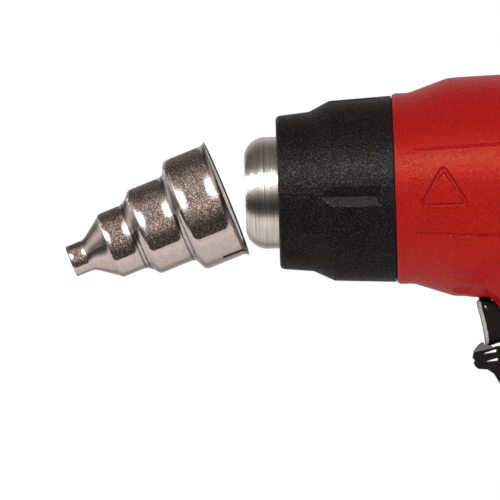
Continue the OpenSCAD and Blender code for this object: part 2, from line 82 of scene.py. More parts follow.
# Nozzle
NOZZLE_MOUTH = (-5.64, 0.0, -1.29)
NOZZLE_TILT = 20.3
NOZZLE_YAW = 2.2
NOZZLE_R = 17.55
NOZZLE_SHEET = 0.35
NOZZLE_LENGTH = 50.4
NOZZLE_END_R = 4.8
FLARE_RISE = 0.95             # the rim flares out this far
FLARE_LENGTH = 1.4
RIM_LINE = 0.55               # width of the dark line painted along the rim's outside as shade
SLIT_HALF = 0.5
SLIT_LENGTH = 7.2
SLIT_TURN = 203               # degrees round the nozzle's axis from its upper side
# Each step's flank as (start, end, radius), and the creases beside the shoulders, from the mouth
NOZZLE_STEPS = ((1.7, 13.0, 17.55), (16.6, 26.6, 13.45), (30.6, 38.0, 10.22), (45.4, 49.9, 4.8))
NOZZLE_CREASES = (0.75, 15.9, 29.9, 14.6, 28.7)

# Guard
GUARD_FRONT = 9.9
GUARD_END = 44.45
GROOVES = 4
GROOVE_ANGLE = 94.5
GROOVE_DEPTH = 1.8
GROOVE_HALF = 3.1
GROOVE_FRONT = 25.5
GROOVE_REAR = 39.0

# Housing and handle
NOSE_X = 44.85
HOUSING_END = 170.0
WALL = 2.6
SEAM = 0.06                   # half the parting line between the two shells
HANDLE_TOP = (94.0, -36.0)
RAKE = math.radians(8)
HANDLE_HALF = (20.0, 17.5)
HANDLE_ROUND = 15.0
FOOT = -125.0
NECK_FILLET = 8.5
GRIP_IN = 1.4
GRIP_OUT = 1.2
GRIP_TOP = -14.0
GRIP_END = -108.0
GRIP_EDGE = 10.0
FRONT_RIBS = (-33.4, 16)      # the first rib's height on the handle, and how many there are
REAR_RIBS = (-24.4, 18)
RIB_STEP = 4.4
EYE = (28.0, -118.5)
GLAND_R = 6.1
BODY_SCREWS = ((74.0, 27.5), (132.0, 27.5), (132.0, -27.5))
HANDLE_SCREWS = ((0.0, -41.0), (0.0, -94.0))
PIVOT = (71.2, -36.4)
PIN_R = 0.75
PIN_END = 0.42
PIN_STEP = 6.9                 # the pin's ends are thinner beyond this
SCOOP = ((65.3, 15.0, -43.0), 13.6)    # centre and radius of the shallow arch beside the trigger
WINDOW = (-49.4, -33.4)


# ---- Fields: signed distances in mm, negative inside

def lowest(*fields):
    return functools.reduce(np.minimum, fields)


def highest(*fields):
    return functools.reduce(np.maximum, fields)


def round_and(a, b, r):
    """Where both are inside, with the edge between them rounded to radius r."""
    return np.minimum(np.maximum(a, b), -r) + np.hypot(np.maximum(a + r, 0), np.maximum(b + r, 0))


def round_or(a, b, r):
    """Where either is inside, with a fillet of radius r in the corner between them."""
    return -round_and(-a, -b, r)


def chamfer_and(a, b, c):
    """Where both are inside, with the edge between them cut off by c."""
    return np.maximum(np.maximum(a, b), (a + b + c) * math.sqrt(0.5))


def rounded_rectangle(u, v, half_u, half_v, r):
    a = np.abs(u) - half_u + r
    b = np.abs(v) - half_v + r
    return np.hypot(np.maximum(a, 0), np.maximum(b, 0)) + np.minimum(np.maximum(a, b), 0) - r


def block(x, y, z, lo, hi, r=0.0):
    """A box from corner lo to corner hi with edges rounded to r."""
    gaps = [np.abs(v - (a + b) / 2) - (b - a) / 2 + r for v, a, b in zip((x, y, z), lo, hi)]
    out = np.sqrt(sum(np.maximum(g, 0) ** 2 for g in gaps))
    return out + np.minimum(highest(*gaps), 0) - r


def line_distance(u, v, start, end):
    """Distance to a straight line between two places."""
    ex, ey = end[0] - start[0], end[1] - start[1]
    t = np.clip(((u - start[0]) * ex + (v - start[1]) * ey) / (ex * ex + ey * ey), 0, 1)
    return np.hypot(u - start[0] - t * ex, v - start[1] - t * ey)


def polygon(u, v, corners):
    """Distance to a closed outline of corners."""
    sides = list(zip(corners, corners[1:] + corners[:1]))
    inside = False
    for (x0, y0), (x1, y1) in sides:
        ex, ey = x1 - x0, abs(y1 - y0)
        before = (u - x0) * ey < ex * (v - y0) * np.sign(y1 - y0)
        inside = inside ^ (((y0 <= v) != (y1 <= v)) & before)
    return np.where(inside, -1, 1) * lowest(*[line_distance(u, v, *side) for side in sides])


def sphere(x, y, z, centre, r):
    return np.sqrt(sum((v - c) ** 2 for v, c in zip((x, y, z), centre))) - r


def in_handle(x, z):
    """The handle's own coordinates: u to the rear and w up, from its top centre."""
    dx, dz = x - HANDLE_TOP[0], z - HANDLE_TOP[1]
    return dx * math.cos(RAKE) + dz * math.sin(RAKE), -dx * math.sin(RAKE) + dz * math.cos(RAKE)


def from_pivot(x, z):
    return np.hypot(x - PIVOT[0], z - PIVOT[1])


def smooth_step(v, start, end):
    t = np.clip((v - start) / (end - start), 0, 1)
    return t * t * (3 - 2 * t)


def body_radius(x):
    places = [NOSE_X, 50.0, 62.0, 66.0, 120.0, 190.0]
    radii = [28.7, 28.7, 32.8, 33.0, 34.5, 34.5]
    soften = (-0.8, -0.4, 0.0, 0.4, 0.8)
    return sum(np.interp(x + d, places, radii) for d in soften) / len(soften)


def handle_side(u, w, y):
    """Distance to the handle's sides; the foot swells a little."""
    swell = 2.0 * smooth_step(w, -108.5, -113.5)
    return rounded_rectangle(u, y, HANDLE_HALF[0] + swell, HANDLE_HALF[1] + swell, HANDLE_ROUND + swell)


def housing_skin(x, y, z):
    """The housing's outer form without its grooves and openings."""
    u, w = in_handle(x, z)
    barrel = round_and(np.hypot(y, z) - body_radius(x), NOSE_X - x, 1.5)
    grip = np.maximum(round_and(handle_side(u, w, y), FOOT - w, 2.0), w - 18)
    skin = round_or(barrel, grip, NECK_FILLET)
    return np.maximum(skin, -sphere(x, np.abs(y), z, *SCOOP))


TRIANGLE = [(54.2, -4.7), (65.1, -4.7), (59.6, 4.4)]
PANEL_LINES = (((51.3, 11.65), (160.0, 14.2)), ((51.3, -13.55), (160.0, -20.3)))


def surface_marks(x, y, z, skin):
    """Grooves in the skin: the channel round each triangle and the panel lines."""
    ring = polygon(x, z, TRIANGLE) - 0.8
    marks = 0.68 - np.hypot(ring, skin + 0.1)
    for start, end in PANEL_LINES:
        marks = np.maximum(marks, 0.42 - np.hypot(line_distance(x, z, start, end), skin))
    return np.where(np.abs(y) > 8, marks, -9.0)


def grip_recess(u, w, y, front):
    """What a soft grip's bed removes from the handle: the front one, or else the rear one."""
    edge = u + GRIP_EDGE if front else GRIP_EDGE - u
    gap = 0.1
    return highest(-GRIP_IN - gap - handle_side(u, w, y), w - GRIP_TOP - gap, GRIP_END - gap - w, edge - gap)


def screw_places(x, z):
    """Distance from the nearest housing screw's axis."""
    u, w = in_handle(x, z)
    return lowest(*[np.hypot(x - a, z - b) for a, b in BODY_SCREWS],
                  *[np.hypot(u - a, w - b) for a, b in HANDLE_SCREWS])


def housing_openings(x, y, z):
    """Everything cut through the shells, as one field."""
    u, w = in_handle(x, z)
    screw = screw_places(x, z)
    return lowest(
        np.maximum(np.hypot(y, z) - 23.7, x - 50),
        block(x, y, z, (60.0, -8.0, WINDOW[0]), (90.0, 8.0, WINDOW[1]), 1.0),
        np.maximum(np.hypot(u, y) - GLAND_R - 0.1, w + 118),
        np.hypot(u - EYE[0], w - EYE[1]) - 3.2,
        np.maximum(screw - 3.0, 10.0 - y),
        grip_recess(u, w, y, True),
        grip_recess(u, w, y, False),
    )


def housing(x, y, z):
    """Both shells as one hollow solid."""
    u, w = in_handle(x, z)
    skin = housing_skin(x, y, z)
    solid = np.maximum(skin, surface_marks(x, y, z, skin))
    shell = np.maximum(solid, -(skin + WALL))
    lug = round_or(np.hypot(u - EYE[0], w - EYE[1]) - 6.5,
                   rounded_rectangle(u - 24.2, w + 118.5, 4.2, 6.5, 0.5), 0.5)
    shell = round_or(shell, round_and(lug, np.abs(y) - 5.0, 0.8), 0.8)
    boss = np.maximum(screw_places(x, z) - 4.2, np.abs(y) - 15.8)
    tongue = np.minimum(from_pivot(x, z) - 1.9,
                        rounded_rectangle(x - PIVOT[0], z + 34, 1.9, 2.4, 0.2))
    shell = np.minimum(shell, np.maximum(boss, skin + 0.5))
    opened = round_and(shell, -housing_openings(x, y, z), 0.35)
    return np.minimum(opened, np.maximum(tongue, np.abs(y) - 3.0))


NOSE = [
    (-17.0, -9.7), (-21.5, -9.5), (-22.6, -9.8), (-24.4, -10.15), (-24.75, -9.6), (-25.0, -7.65),
    (-25.4, -7.6), (-26.3, -8.05), (-27.4, -9.0), (-28.3, -9.9), (-29.0, -11.7), (-28.4, -12.6),
    (-28.9, -13.3), (-28.7, -14.2), (-28.0, -15.2), (-25.2, -15.9), (-23.4, -17.6), (-22.1, -21.0),
    (-21.2, -26.0), (-17.0, -26.0),
]
NOSE_HALF = 9.5
CHEEK = [(-26.0, -10.5), (-26.0, -8.6), (-25.0, -8.3), (-23.8, -8.6), (-22.6, -9.5), (-22.0, -10.2)]
CHEEK_Y = 7.9
SLITS = ([(-26.8, -11.05), (-21.5, -10.25), (-21.5, -11.25)],
         [(-26.0, -13.45), (-21.5, -12.9), (-21.5, -13.9)])


def grip_band(u, w, y, edge):
    """One soft grip's band round half of the handle, its rims rounded."""
    side = handle_side(u, w, y)
    ends = round_and(w - GRIP_TOP, GRIP_END - w, 0.2)
    rim = round_and(ends, edge, 1.5)
    return np.maximum(round_and(side - GRIP_OUT, rim, 0.9), -GRIP_IN - side)


def ribs(u, w, y, first, count):
    """Short shallow grooves across a grip."""
    index = np.clip(np.round((first - w) / RIB_STEP), 0, count - 1)
    rise = handle_side(u, w, y) - GRIP_OUT
    past = np.maximum(np.abs(y) - 6.5, 0)
    return 0.75 - np.sqrt((w - first + index * RIB_STEP) ** 2 + rise ** 2 + past ** 2)


def front_grip(x, y, z):
    u, w = in_handle(x, z)
    band = grip_band(u, w, y, u + GRIP_EDGE)
    band = np.maximum(band, ribs(u, w, y, *FRONT_RIBS))
    bevel = -0.035 * (u + 28.39) + 0.674 * (w + 10.15) + 0.737 * (np.abs(y) - NOSE_HALF)
    cheek = highest(polygon(u, w, CHEEK) - 0.1, np.abs(y) - NOSE_HALF, CHEEK_Y - np.abs(y))
    stop = np.minimum(round_and(polygon(u, w, NOSE), np.abs(y) - NOSE_HALF, 0.6), cheek)
    stop = np.maximum(round_and(stop, bevel, 0.2), -GRIP_IN - handle_side(u, w, y))
    return np.maximum(round_or(band, stop, 0.8), -lowest(*[polygon(u, w, slit) for slit in SLITS]))


def rear_grip(x, y, z):
    u, w = in_handle(x, z)
    band = grip_band(u, w, y, GRIP_EDGE - u)
    return np.maximum(band, ribs(u, w, y, *REAR_RIBS))


TRIGGER = [
    (68.85, -36.7), (70.7, -46.6), (71.0, -47.95), (71.7, -48.3), (73.2, -47.8), (74.8, -47.3),
    (81.0, -46.9), (81.7, -46.6), (82.0, -45.9), (82.0, -38.4), (80.0, -37.2), (72.4, -34.1),
    (71.2, -33.8), (69.9, -33.85), (69.1, -34.3), (68.75, -35.0),
]


def trigger(x, y, z):
    """The rocker: bevelled round its outline, slotted for the tongue and hollow behind."""
    bow = 0.35 * (1 - ((z + 41.5) / 6.0) ** 2).clip(0, 1) * smooth_step(x, 76, 70)
    outline = polygon(x, z, TRIGGER) + bow
    solid = chamfer_and(outline, np.abs(y) - 7.6, 1.15)
    slot = np.maximum(np.minimum(from_pivot(x, z) - 2.4,
                                 block(x, y, z, (66, -9, PIVOT[1]), (74.4, 9, -31))), np.abs(y) - 3.4)
    bore = from_pivot(x, z) - np.where(np.abs(y) < PIN_STEP, PIN_R, PIN_END) - 0.05
    hollow = block(x, y, z, (74.5, -6.0, -50), (79.5, 6.0, -41), 0.3)
    return highest(solid, -slot, -bore, -hollow)


# ---- Meshing

def surface_nets(field, axes):
    """Points and outward quads of a field's zero level, sampled on a grid."""
    xs, ys, zs = axes
    grid = field(xs[:, None, None], ys[None, :, None], zs[None, None, :])
    hits, quads = [], []
    for axis in range(3):
        low = [slice(None)] * 3
        high = [slice(None)] * 3
        low[axis] = slice(0, -1)
        high[axis] = slice(1, None)
        a, b = grid[tuple(low)], grid[tuple(high)]
        at = np.argwhere((a < 0) != (b < 0))
        va, vb = a[tuple(at.T)], b[tuple(at.T)]
        point = np.stack([axes[d][at[:, d]] for d in range(3)], 1)
        step = axes[axis][at[:, axis] + 1] - axes[axis][at[:, axis]]
        point[:, axis] += step * va / (va - vb)
        cells = []
        for du, dv in ((0, 0), (1, 0), (1, 1), (0, 1)):
            cell = at.copy()
            cell[:, (axis + 1) % 3] -= du
            cell[:, (axis + 2) % 3] -= dv
            cells.append(np.ravel_multi_index(cell.T, grid.shape))
        quad = np.stack(cells, 1)
        quad[va >= 0] = quad[va >= 0][:, ::-1]
        hits.append(point)
        quads.append(quad)
    quads = np.concatenate(quads)
    hits = np.concatenate(hits)
    _, index = np.unique(quads, return_inverse=True)
    index = index.reshape(quads.shape)
    total = index.max() + 1
    share = np.bincount(index.ravel(), minlength=total)
    points = np.stack([np.bincount(index.ravel(), np.repeat(hits[:, d], 4), total) / share
                       for d in range(3)], 1)
    return points, index


def settle(field, points, rounds=3, reach=0.8):
    """Moves points onto a field's zero level along its slope."""
    h = 0.03
    for _ in range(rounds):
        x, y, z = points.T
        value = field(x, y, z)
        slope = np.stack([
            field(x + h, y, z) - field(x - h, y, z),
            field(x, y + h, z) - field(x, y - h, z),
            field(x, y, z + h) - field(x, y, z - h)], 1) / (2 * h)
        size = np.maximum((slope ** 2).sum(1), 0.2)
        move = -(value / size)[:, None] * slope
        length = np.linalg.norm(move, axis=1, keepdims=True)
        points = points + move * np.minimum(1, reach / np.maximum(length, 1e-9))
    return points


def relax(points, faces, amount=0.5):
    """Evens out a mesh by drawing each point towards the middle of its neighbours."""
    total = np.zeros_like(points)
    count = np.zeros(len(points))
    for k in range(faces.shape[1]):
        a, b = faces[:, k], faces[:, (k + 1) % faces.shape[1]]
        for here, there in ((a, b), (b, a)):
            count += np.bincount(here, minlength=len(points))
            for d in range(3):
                total[:, d] += np.bincount(here, points[there, d], len(points))
    return points + amount * (total / count[:, None] - points)


def refine(points, tris, near, size):
    """Splits the triangle edges that are longer than size where near() says so."""
    ends = np.sort(np.concatenate([tris[:, [0, 1]], tris[:, [1, 2]], tris[:, [2, 0]]]), 1)
    edges, which = np.unique(ends, axis=0, return_inverse=True)
    which = which.reshape(3, -1).T
    middle = points[edges].mean(1)
    long = np.linalg.norm(points[edges[:, 0]] - points[edges[:, 1]], axis=1) > size
    split = long & near(*middle.T)
    new = np.full(len(edges), -1)
    new[split] = len(points) + np.arange(split.sum())
    points = np.concatenate([points, middle[split]])
    cut = split[which]
    count = cut.sum(1)
    turn = np.zeros(len(tris), int)
    turn[(count == 1) & cut[:, 1]] = 1
    turn[(count == 1) & cut[:, 2]] = 2
    turn[(count == 2) & ~cut[:, 0]] = 1
    turn[(count == 2) & ~cut[:, 1]] = 2
    order = (np.arange(3)[None, :] + turn[:, None]) % 3
    rows = np.arange(len(tris))[:, None]
    t = tris[rows, order]
    m = new[which[rows, order]]
    a, b, c = t.T
    ab, bc, ca = m.T
    out = [tris[count == 0]]
    one, two, three = count == 1, count == 2, count == 3
    out += [np.stack(s, 1)[one] for s in ((a, ab, c), (ab, b, c))]
    out += [np.stack(s, 1)[two] for s in ((ab, b, bc), (a, ab, bc), (a, bc, c))]
    out += [np.stack(s, 1)[three] for s in ((a, ab, ca), (ab, b, bc), (ca, bc, c), (ab, bc, ca))]
    return points, np.concatenate(out)


def solid_mesh(field, lo, hi, step, near=None, sizes=(), fine=None):
    """Triangles of a field between two corners, finer where near() says so.

    fine gives a stretch of X, Y and Z and a step for those stretches of the first grid.
    """
    axes = [np.arange(a, b + step, step) for a, b in zip(lo, hi)]
    if fine:
        spans, small = fine
        axes = [np.concatenate([axis[axis < a], np.arange(a, b, small), axis[axis >= b + small / 2]])
                for axis, (a, b) in zip(axes, spans)]
    points, quads = surface_nets(field, axes)
    points = settle(field, points)
    points = settle(field, relax(points, quads), 2)
    tris = np.concatenate([quads[:, [0, 1, 2]], quads[:, [0, 2, 3]]])
    for size in sizes:
        points, tris = refine(points, tris, near, size)
        points = settle(field, points, 2, size)
    return points, tris


def to_row(points):
    """From mm behind the tip to the frame's metres."""
    return (np.asarray(points, float) - [TIP_X, 0, 0]) * MM


def link_object(name, data):
    """A new object in the scene."""
    obj = bpy.data.objects.new(name, data)
    bpy.context.scene.collection.objects.link(obj)
    return obj


def shade(obj, sharp=35.0):
    """Shades smoothly, and keeps edges that are sharper than the angle crisp."""
    obj.data.polygons.foreach_set("use_smooth", [True] * len(obj.data.polygons))
    obj.data.set_sharp_from_angle(angle=math.radians(sharp))


def add_object(name, points, faces, sharp=35.0):
    """A shaded mesh object from points in mm."""
    mesh = bpy.data.meshes.new(name)
    mesh.from_pydata(to_row(points).tolist(), [], [list(map(int, f)) for f in faces])
    obj = link_object(name, mesh)
    bm = bmesh.new()
    bm.from_mesh(mesh)
    bmesh.ops.remove_doubles(bm, verts=bm.verts, dist=1e-7)
    bmesh.ops.recalc_face_normals(bm, faces=bm.faces)
    bm.to_mesh(mesh)
    bm.free()
    shade(obj, sharp)
    return obj


def slice_off(obj, place, normal):
    """Cuts the object with a plane, drops the side the normal points to and closes the cut."""
    bm = bmesh.new()
    bm.from_mesh(obj.data)
    everything = bm.verts[:] + bm.edges[:] + bm.faces[:]
    cut = bmesh.ops.bisect_plane(bm, geom=everything, dist=1e-7, plane_co=Vector(to_row(place)),
                                 plane_no=Vector(normal), clear_outer=True)
    rim = [e for e in cut["geom_cut"] if isinstance(e, bmesh.types.BMEdge) and e.is_boundary]
    bmesh.ops.triangle_fill(bm, edges=rim, use_beauty=True, normal=Vector(normal))
    bm.to_mesh(obj.data)
    bm.free()
    shade(obj)


def even_angles(count):
    return np.arange(count) * 2 * math.pi / count


def arc(cx, cy, r, a0, a1, n=10):
    """Points on an arc, as (place, radius) pairs."""
    return [(cx + r * math.cos(math.radians(a0 + (a1 - a0) * i / n)),
             cy + r * math.sin(math.radians(a0 + (a1 - a0) * i / n))) for i in range(n + 1)]


def eased(corners, n=6):
    """A closed outline of (x, y, radius) corners with each corner rounded."""
    out = []
    count = len(corners)
    for i, (x, y, r) in enumerate(corners):
        here = Vector((x, y))
        if r == 0:
            out.append((x, y))
            continue
        back = Vector(corners[i - 1][:2]) - here
        ahead = Vector(corners[(i + 1) % count][:2]) - here
        half = back.angle(ahead) / 2
        reach = min(r / math.tan(half), back.length * 0.49, ahead.length * 0.49)
        start, end = here + back.normalized() * reach, here + ahead.normalized() * reach
        for k in range(n + 1):
            t = k / n
            point = start * (1 - t) ** 2 + here * 2 * t * (1 - t) + end * t * t
            out.append(tuple(point))
    return out


def denser(outline, step):
    """The same closed outline with points no further apart than step."""
    out = []
    for (x0, y0), (x1, y1) in zip(outline, outline[1:] + outline[:1]):
        n = max(1, int(math.ceil(math.hypot(x1 - x0, y1 - y0) / step)))
        out += [(x0 + (x1 - x0) * i / n, y0 + (y1 - y0) * i / n) for i in range(n)]
    return out


def grid_faces(n, m):
    """Quads over a ring of n closed outlines with m points each."""
    i, j = np.meshgrid(np.arange(n), np.arange(m), indexing="ij")

    def at(p, q):
        return (p % n) * m + q % m

    return np.stack([at(i, j), at(i + 1, j), at(i + 1, j + 1), at(i, j + 1)], -1).reshape(-1, 4)


def lathe(name, outline, angles, shape=None, sharp=35.0):
    """Turns a closed outline of (x, radius) round the barrel's axis; shape() may alter the radius."""
    x, r = np.array(outline).T
    a = np.asarray(angles)[:, None]
    radius = np.broadcast_to(r, (len(a), len(r))) if shape is None else shape(x[None, :], r[None, :], a)
    xs = np.broadcast_to(x, radius.shape)
    points = np.stack([xs, -radius * np.sin(a), radius * np.cos(a)], -1).reshape(-1, 3)
    return add_object(name, points, grid_faces(len(angles), len(r)), sharp)


def boolean(obj, cutter):
    """Cuts one object with another and removes the cutter."""
    change = obj.modifiers.new("cut", "BOOLEAN")
    change.object = cutter
    change.solver = "EXACT"
    bpy.context.view_layer.update()
    done = bpy.data.meshes.new_from_object(obj.evaluated_get(bpy.context.evaluated_depsgraph_get()))
    obj.modifiers.clear()
    obj.data = done
    bpy.data.objects.remove(cutter)
    shade(obj)


def side_faces(base, rows, around):
    """Quads that join rows of points, where each row is a ring."""
    faces = []
    for row in range(base, base + (rows - 1) * around, around):
        for k in range(around):
            n = (k + 1) % around
            faces.append((row + k, row + n, row + around + n, row + around + k))
    return faces


def end_faces(base, rows, around):
    """A face over the first ring and one over the last."""
    first = tuple(range(base, base + around))
    last = tuple(n + (rows - 1) * around for n in first)
    return [first[::-1], last]


def tube_mesh(paths, radius, sides):
    """One mesh of round wires that follow the given paths."""
    points, faces = [], []
    for path in paths:
        path = np.asarray(path, float)
        ahead = np.gradient(path, axis=0)
        ahead /= np.linalg.norm(ahead, axis=1, keepdims=True)
        side = np.cross(ahead, [1.0, 0.01, 0.02])
        side /= np.linalg.norm(side, axis=1, keepdims=True)
        up = np.cross(ahead, side)
        size = len(points), len(path), sides
        faces += side_faces(*size) + end_faces(*size)
        for k in range(len(path)):
            points += [path[k] + radius * (math.cos(t) * side[k] + math.sin(t) * up[k])
                       for t in even_angles(sides)]
    return points, faces


# ---- Materials

class Nodes:
    """Short ways to add nodes to a tree."""

    def __init__(self, tree):
        self.tree = tree

    def node(self, kind, inputs=(), **settings):
        made = self.tree.nodes.new("ShaderNode" + kind)
        for key, value in settings.items():
            setattr(made, key, value)
        for key, value in dict(inputs).items():
            if hasattr(value, "is_output"):
                self.tree.links.new(value, made.inputs[key])
            else:
                made.inputs[key].default_value = value
        return made

    def math(self, operation, a, b=0.0, c=0.0):
        return self.node("Math", {0: a, 1: b, 2: c}, operation=operation).outputs[0]

    def plus(self, a, b):
        return self.math("ADD", a, b)

    def minus(self, a, b):
        return self.math("SUBTRACT", a, b)

    def times(self, *factors):
        return functools.reduce(lambda a, b: self.math("MULTIPLY", a, b), factors)

    def most(self, a, b):
        return self.math("MAXIMUM", a, b)

    def size(self, a):
        return self.math("ABSOLUTE", a)

    def axes(self, vector):
        return self.node("SeparateXYZ", {0: vector}).outputs

    def vector_math(self, operation, a, b=(0, 0, 0)):
        return self.node("VectorMath", {0: a, 1: b}, operation=operation).outputs

    def ramp(self, value, start, end, low=0.0, high=1.0, kind="SMOOTHSTEP"):
        """Runs from low to high as the value goes from start to end."""
        inputs = {"Value": value, "From Min": start, "From Max": end, "To Min": low, "To Max": high}
        return self.node("MapRange", inputs, interpolation_type=kind).outputs[0]

    def span(self, value, low, high):
        """Maps the middle of a noise onto low..high."""
        return self.ramp(value, 0.3, 0.7, low, high, "LINEAR")

    def blend(self, factor, stops):
        """A colour ramp of (place, colour) stops."""
        made = self.node("ValToRGB", {"Fac": factor})
        elements = made.color_ramp.elements
        while len(elements) < len(stops):
            elements.new(0.5)
        for element, (place, colour) in zip(elements, stops):
            element.position = place
            element.color = (*colour, 1.0)
        return made.outputs["Color"]

    def join(self, factor, a, b):
        return self.node("Mix", {0: factor, 6: a, 7: b}, data_type="RGBA").outputs[2]

    def mix(self, factor, a, colour):
        """Mixes in a fixed colour."""
        return self.join(factor, a, (*colour, 1.0))


class Finish(Nodes):
    """A node-built material, with measures in mm."""

    def __init__(self, name, metallic=0.0, **sockets):
        self.name = name
        self.material = bpy.data.materials.new(name)
        self.material.use_nodes = True
        super().__init__(self.material.node_tree)
        self.shader = self.tree.nodes["Principled BSDF"]
        self.shader.inputs["Metallic"].default_value = metallic
        for key, value in sockets.items():
            self.shader.inputs[key.replace("_", " ").title().replace("Ior", "IOR")].default_value = value
        coordinates = self.node("TexCoord").outputs
        self.place, self.normal = coordinates["Object"], coordinates["Normal"]

    def noise(self, size, detail=4.0, rough=0.55):
        """Noise whose features are about size across."""
        return self.node("TexNoise", {"Vector": self.place, "Scale": 1 / (size * MM), "Detail": detail,
                                      "Roughness": rough}).outputs["Fac"]

    def streaks(self, scale, detail, rough, turn=(0, 0, 0)):
        """Noise on coordinates that are turned and then scaled along each axis."""
        turned = self.node("Mapping", {"Vector": self.place, "Rotation": turn}).outputs[0]
        scaled = self.node("Mapping", {"Vector": turned, "Scale": scale}).outputs[0]
        return self.node("TexNoise", {"Vector": scaled, "Scale": 1.0, "Detail": detail,
                                      "Roughness": rough}).outputs["Fac"]

    def fade(self, factor, low, high):
        """Runs between two colours over the middle of a noise."""
        return self.blend(factor, [(0.3, low), (0.7, high)])

    def offset(self, place):
        """Offset from a place that is given behind the tip."""
        shifted = self.vector_math("SUBTRACT", self.place, tuple(to_row(place)))[0]
        return self.vector_math("MULTIPLY", shifted, (1 / MM,) * 3)[0]

    def along(self, place, direction):
        """Distance from a place along a direction."""
        return self.vector_math("DOT_PRODUCT", self.offset(place), direction)["Value"]

    def done(self, base, rough, *bumps, metallic=None):
        """Links the sockets, with (height, strength, distance) layers of bump; gives name and material."""
        normal = None
        for height, strength, distance in bumps:
            inputs = {"Height": height, "Strength": strength, "Distance": distance * MM}
            if normal:
                inputs["Normal"] = normal
            normal = self.node("Bump", inputs).outputs[0]
        links = {"Base Color": base, "Roughness": rough, "Metallic": metallic, "Normal": normal}
        for key, value in links.items():
            if value:
                self.tree.links.new(value, self.shader.inputs[key])
        return self.name, self.material


def scaled(colour, share):
    return tuple(c * share for c in colour)


def grained(name, colour, rough, grain, depth, vary=0.12, worn=None):
    """Moulded plastic or rubber: a fine grain, faint clouds in the colour and uneven gloss."""
    f = Finish(name, specular_ior_level=0.14)
    shade = f.fade(f.noise(14.0, 3.0), scaled(colour, 1 - vary), scaled(colour, 1 + vary))
    if worn:
        shade = f.mix(f.span(f.noise(1.6, 5.0, 0.7), -0.25, worn), shade, [c * 1.8 + 0.03 for c in colour])
    return f.done(shade, f.span(f.noise(3.0), rough - 0.06, rough + 0.08),
                  (f.noise(grain, 2.0), 0.6, depth), (f.noise(5.0, 2.0), 0.25, depth * 2))


def barrel_steel():
    """Bare steel with fine lines round the axis, faint heat tint and handling marks."""
    colour, tint, rough, depth = (0.79, 0.715, 0.65), (0.62, 0.53, 0.45), 0.14, 0.045
    f = Finish("barrel_steel", metallic=1.0)
    lines = f.streaks((4000.0, 40.0, 40.0), 3.0, 0.7)
    shade = f.blend(lines, [(0.34, scaled(colour, 0.5)), (0.56, colour)])
    shade = f.mix(f.span(f.noise(9.0, 5.0, 0.6), 0.0, 0.55), shade, tint)
    shade = f.mix(f.span(f.streaks((420.0, 25.0, 25.0), 2.0, 0.5), 0.0, 0.3), shade, scaled(colour, 0.7))
    uneven = f.streaks((2500.0, 60.0, 60.0), 3.0, 0.6)
    return f.done(shade, f.span(uneven, rough - 0.05, rough + 0.09),
                  (lines, 0.6, depth), (f.noise(6.0, 3.0), 0.3, depth * 2))


